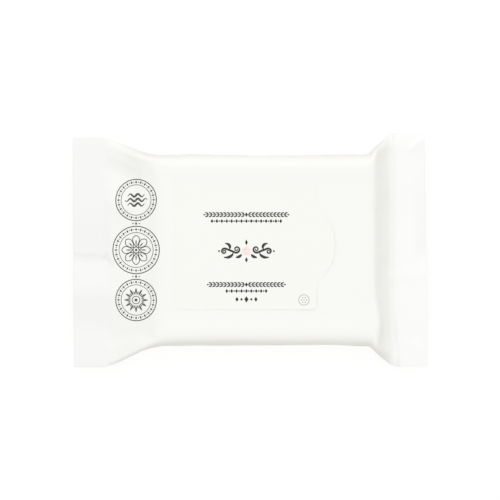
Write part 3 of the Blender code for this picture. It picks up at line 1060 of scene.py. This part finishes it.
def draw_scrolls(ink, centre):
    """A level ornament of scrolls and leaves, with room for a blossom in the middle."""
    inner = volute((4.7, 0.9), 1.75, 0.3, -70, -520)[::-1]
    outer = volute((10.7, -0.1), 1.45, 0.28, 105, -500)
    scroll = [*inner, *curve((inner[-1], (7.3, 0.15), outer[0]))[1:-1], *outer]
    leaves = (
        ((6.3, -0.75), (7.1, -2.1), (8.9, -3.0), (11.0, -2.9)),
        ((8.2, 0.75), (7.9, 2.1), (8.7, 3.3), (10.4, 3.8)),
        ((2.2, -1.5), (3.4, -2.6), (5.2, -3.1)),
    )
    for side in (1, -1):
        ink.line(placed(scroll, centre, 0, side, SCROLL_SIZE), swelling(1.1, 0.35))
        for leaf in leaves:
            ink.line(placed(curve(leaf), centre, 0, side, SCROLL_SIZE), swelling(1.5, 0.1))
        ink.dot(polar(centre, 13.2 * SCROLL_SIZE, 90 - 90 * side), 0.5)
        ink.dot(polar(centre, 4.2 * SCROLL_SIZE, 90 * side), 0.75, 1.5)


def build_label_print(surface, material):
    ink = Print()
    for row, leaves in GARLANDS:
        draw_garland(ink, row, leaves)
    for row, count in BEADS:
        draw_beads(ink, row, count)
    draw_scrolls(ink, (LABEL_MIDLINE, SCROLL_ROW))
    for along, long, wide in ((-5.0, 0.9, 1.3), (0.0, 1.15, 1.7), (5.0, 0.9, 1.3)):
        ink.dot((LABEL_MIDLINE + along, LOZENGE_ROW), long, wide)
    for along in (-2.6, 2.6):
        ink.dot((LABEL_MIDLINE + along, LOZENGE_ROW), 0.6)
    ink.lay("label_print", surface, material)


def build_blossom(surface, material):
    """A small blossom of five petals, in the middle of the scrolls."""
    ink = Print()
    for i in range(5):
        ink.dot(polar((LABEL_MIDLINE, SCROLL_ROW), 1.5, 90 + 72 * i), 1.05)
    ink.lay("blossom_print", surface, material)


def build_corner_ring(surface, material):
    """A small pale ring at the label's lower right, round a rosette of dots."""
    ink = Print()
    ink.ring(CORNER_RING, CORNER_RING_RADIUS, 0.34)
    ink.dot(CORNER_RING, 0.34)
    for i in range(6):
        ink.dot(polar(CORNER_RING, 1.35, 60 * i), 0.34)
    ink.lay("ring_print", surface, material)


def node(tree, kind, inputs=None, **settings):
    """A shader node with its settings, plain inputs and links."""
    made = tree.nodes.new("ShaderNode" + kind)
    for name, value in settings.items():
        setattr(made, name, value)
    for name, value in (inputs or {}).items():
        if isinstance(value, bpy.types.NodeSocket):
            tree.links.new(value, made.inputs[name])
        else:
            made.inputs[name].default_value = value
    return made


def combined(tree, operation, first, second):
    return node(tree, "Math", {0: first, 1: second}, operation=operation).outputs[0]


def blended(tree, share, first, second):
    """A colour between two."""
    return node(tree, "Mix", {0: share, 6: first, 7: second}, data_type="RGBA").outputs[2]


def ramp(tree, value, start, end, low, high, kind="LINEAR"):
    """Low where the value is below start, and high where it is above end."""
    reach = {0: value, 1: start, 2: end, 3: low, 4: high}
    return node(tree, "MapRange", reach, interpolation_type=kind).outputs[0]


def press(tree, shader, height, depth):
    """Press one more relief into a shader's surface, over what it has."""
    bump = node(tree, "Bump", {"Height": height, "Distance": depth, "Strength": 1.0})
    normal = shader.inputs["Normal"]
    if normal.is_linked:
        tree.links.new(normal.links[0].from_socket, bump.inputs["Normal"])
    tree.links.new(bump.outputs[0], normal)


def satin_material(name, colour, roughness, grain=()):
    """A material whose roughness varies softly, over a fine uneven skin."""
    material = bpy.data.materials.new(name)
    material.use_nodes = True
    tree = material.node_tree
    shader = tree.nodes["Principled BSDF"]
    shader.inputs["Base Color"].default_value = colour
    place = node(tree, "TexCoord").outputs["Object"]
    cloudy = node(tree, "TexNoise", {"Vector": place, "Scale": CLOUD_SCALE, "Detail": 3.0})
    share = ramp(tree, cloudy.outputs[0], *CLOUD_RANGE, *roughness)
    tree.links.new(share, shader.inputs["Roughness"])
    for scale, depth in grain:
        skin = node(tree, "TexNoise", {"Vector": place, "Scale": scale, "Detail": 2.0})
        press(tree, shader, skin.outputs[0], depth)
    return material, tree, shader, place


def film_material():
    """White film: warm over the wipes, neutral and ribbed where two films are sealed together, the
    left seal darkened by painted shade and the right one lightened by painted light.
    """
    material, tree, shader, place = satin_material(
        "satin_film", FILM_TINT, FILM_ROUGHNESS, FILM_GRAIN
    )
    along = node(tree, "SeparateXYZ", {0: place}).outputs[0]
    # The left seal's darker tone is painted shade, and the right seal's lighter tone is painted
    # light
    left = ramp(tree, along, *LEFT_TINT_AND_SHADE_REACH, 1.0, 0.0, "SMOOTHSTEP")
    right = ramp(tree, along, *RIGHT_TINT_AND_LIGHT_REACH, 0.0, 1.0, "SMOOTHSTEP")
    tint_and_painted_light = blended(tree, left, FILM_TINT, LEFT_SEAL_TINT_AND_SHADE)
    tint_and_painted_light = blended(tree, right, tint_and_painted_light, RIGHT_SEAL_TINT_AND_LIGHT)
    tree.links.new(tint_and_painted_light, shader.inputs["Base Color"])
    ribs = node(
        tree, "TexWave",
        {"Vector": place, "Scale": CRIMP_RIBS, "Distortion": 0.0},
        wave_type="BANDS", bands_direction="X", wave_profile="SIN",
    )
    zones = []
    for start, end in CRIMP_ZONES:
        inside = ramp(tree, along, start, start + CRIMP_FADE, 0.0, 1.0)
        until = ramp(tree, along, end - CRIMP_FADE, end, 1.0, 0.0)
        zones.append(combined(tree, "MULTIPLY", inside, until))
    sealed = combined(tree, "ADD", *zones)
    press(tree, shader, combined(tree, "MULTIPLY", ribs.outputs[1], sealed), CRIMP_DEPTH)
    return material


def label_material():
    return satin_material("satin_label", LABEL_TINT, LABEL_ROUGHNESS, LABEL_GRAIN)[0]


def ink_material(name, colour):
    """Printed ink, laid a little unevenly."""
    material, tree, shader, place = satin_material(name, colour, INK_ROUGHNESS)
    cloudy = node(tree, "TexNoise", {"Vector": place, "Scale": INK_CLOUD_SCALE, "Detail": 2.0})
    paler = tuple(min(c * PALER_BY + PALER_FROM, 1.0) for c in colour[:3]) + (1,)
    tree.links.new(blended(tree, cloudy.outputs[0], colour, paler), shader.inputs["Base Color"])
    return material


def seen_directly(tree):
    """1 for camera, glossy and transmission rays, and 0 for the light that the scene scatters."""
    path = node(tree, "LightPath").outputs
    seen = combined(tree, "MAXIMUM", path["Is Camera Ray"], path["Is Glossy Ray"])
    return combined(tree, "MAXIMUM", seen, path["Is Transmission Ray"])


def build_floor():
    """A white floor that keeps the pack's shadow, and can be looked through from beneath."""
    far = Vector((FLOOR_HALF, FLOOR_HALF))
    corners = []
    for low, high in ((-far, far), (OPEN_LOW, OPEN_HIGH)):
        for x, y in ((low.x, low.y), (high.x, low.y), (high.x, high.y), (low.x, high.y)):
            corners.append((x, y, -FLOOR_DROP))
    faces = [(i, (i + 1) % 4, (i + 1) % 4 + 4, i + 4) for i in range(4)]
    mesh = bpy.data.meshes.new("floor")
    mesh.from_pydata(corners, [], faces)
    floor = add_object("floor", mesh)
    material = bpy.data.materials.new("white_floor")
    material.use_nodes = True
    tree = material.node_tree
    tree.nodes.remove(tree.nodes["Principled BSDF"])
    scatter = node(tree, "BsdfDiffuse", {0: FLOOR_SCATTER})
    faint = node(tree, "BsdfDiffuse", {0: (FLOOR_SHADOW, FLOOR_SHADOW, FLOOR_SHADOW, 1)})
    glow = node(tree, "Emission", {0: (1, 1, 1, 1), 1: FLOOR_WHITE - FLOOR_SHADOW})
    white = node(tree, "AddShader", {0: faint.outputs[0], 1: glow.outputs[0]})
    either = node(
        tree, "MixShader", {0: seen_directly(tree), 1: scatter.outputs[0], 2: white.outputs[0]}
    )
    clear = node(tree, "BsdfTransparent")
    beneath = node(tree, "NewGeometry").outputs["Backfacing"]
    one_sided = node(tree, "MixShader", {0: beneath, 1: either.outputs[0], 2: clear.outputs[0]})
    tree.links.new(one_sided.outputs[0], tree.nodes["Material Output"].inputs[0])
    floor.data.materials.append(material)


def build_light():
    """Soft light from all round, a little stronger from above and from beyond the pack."""
    world = bpy.data.worlds.new("studio")
    bpy.context.scene.world = world
    world.use_nodes = True
    tree = world.node_tree
    direction = node(tree, "TexCoord").outputs["Generated"]
    towards = node(
        tree, "VectorMath", {0: direction, 1: Vector(LIGHT_SIDE).normalized()},
        operation="DOT_PRODUCT",
    )
    share = ramp(tree, towards.outputs["Value"], -1.0, 1.0, 0.0, 1.0)
    sky = tree.nodes["Background"]
    tree.links.new(blended(tree, share, SKY_LOW, SKY_HIGH), sky.inputs["Color"])
    white = node(tree, "Background", {0: (1, 1, 1, 1), 1: 1.0})
    either = node(
        tree, "MixShader", {0: seen_directly(tree), 1: sky.outputs[0], 2: white.outputs[0]}
    )
    tree.links.new(either.outputs[0], tree.nodes["World Output"].inputs[0])

    lamp = bpy.data.lights.new("softbox", "AREA")
    lamp.shape = "DISK"
    lamp.size = LAMP_SIZE
    lamp.energy = LAMP_POWER
    softbox = add_object("softbox", lamp)
    softbox.location = Vector(LIGHT_SIDE).normalized() * LAMP_DISTANCE
    softbox.rotation_euler = (-softbox.location).to_track_quat("-Z", "Y").to_euler()


def build_camera():
    camera = bpy.data.cameras.new("camera")
    camera.sensor_width = SENSOR
    camera.lens = SENSOR * VIEW_DISTANCE / VIEW_WIDTH
    holder = add_object("camera", camera)
    holder.location = (0, 0, BODY_HEIGHT / 2 + VIEW_DISTANCE)
    bpy.context.scene.camera = holder


bpy.context.scene.view_settings.view_transform = "Standard"
build_camera()
build_floor()
build_light()
film = film_material()
skin = build_film(film)
film_surface = Surface(skin)
label = build_label(film_surface, label_material())
label_surface = Surface(label)
build_back_seam(film_surface, film)
build_badges(film_surface, ink_material("badge_ink", BADGE_INK))
build_label_print(label_surface, ink_material("label_ink", LABEL_INK))
build_blossom(label_surface, ink_material("blossom_ink", BLOSSOM_INK))
build_corner_ring(label_surface, ink_material("ring_ink", RING_INK))
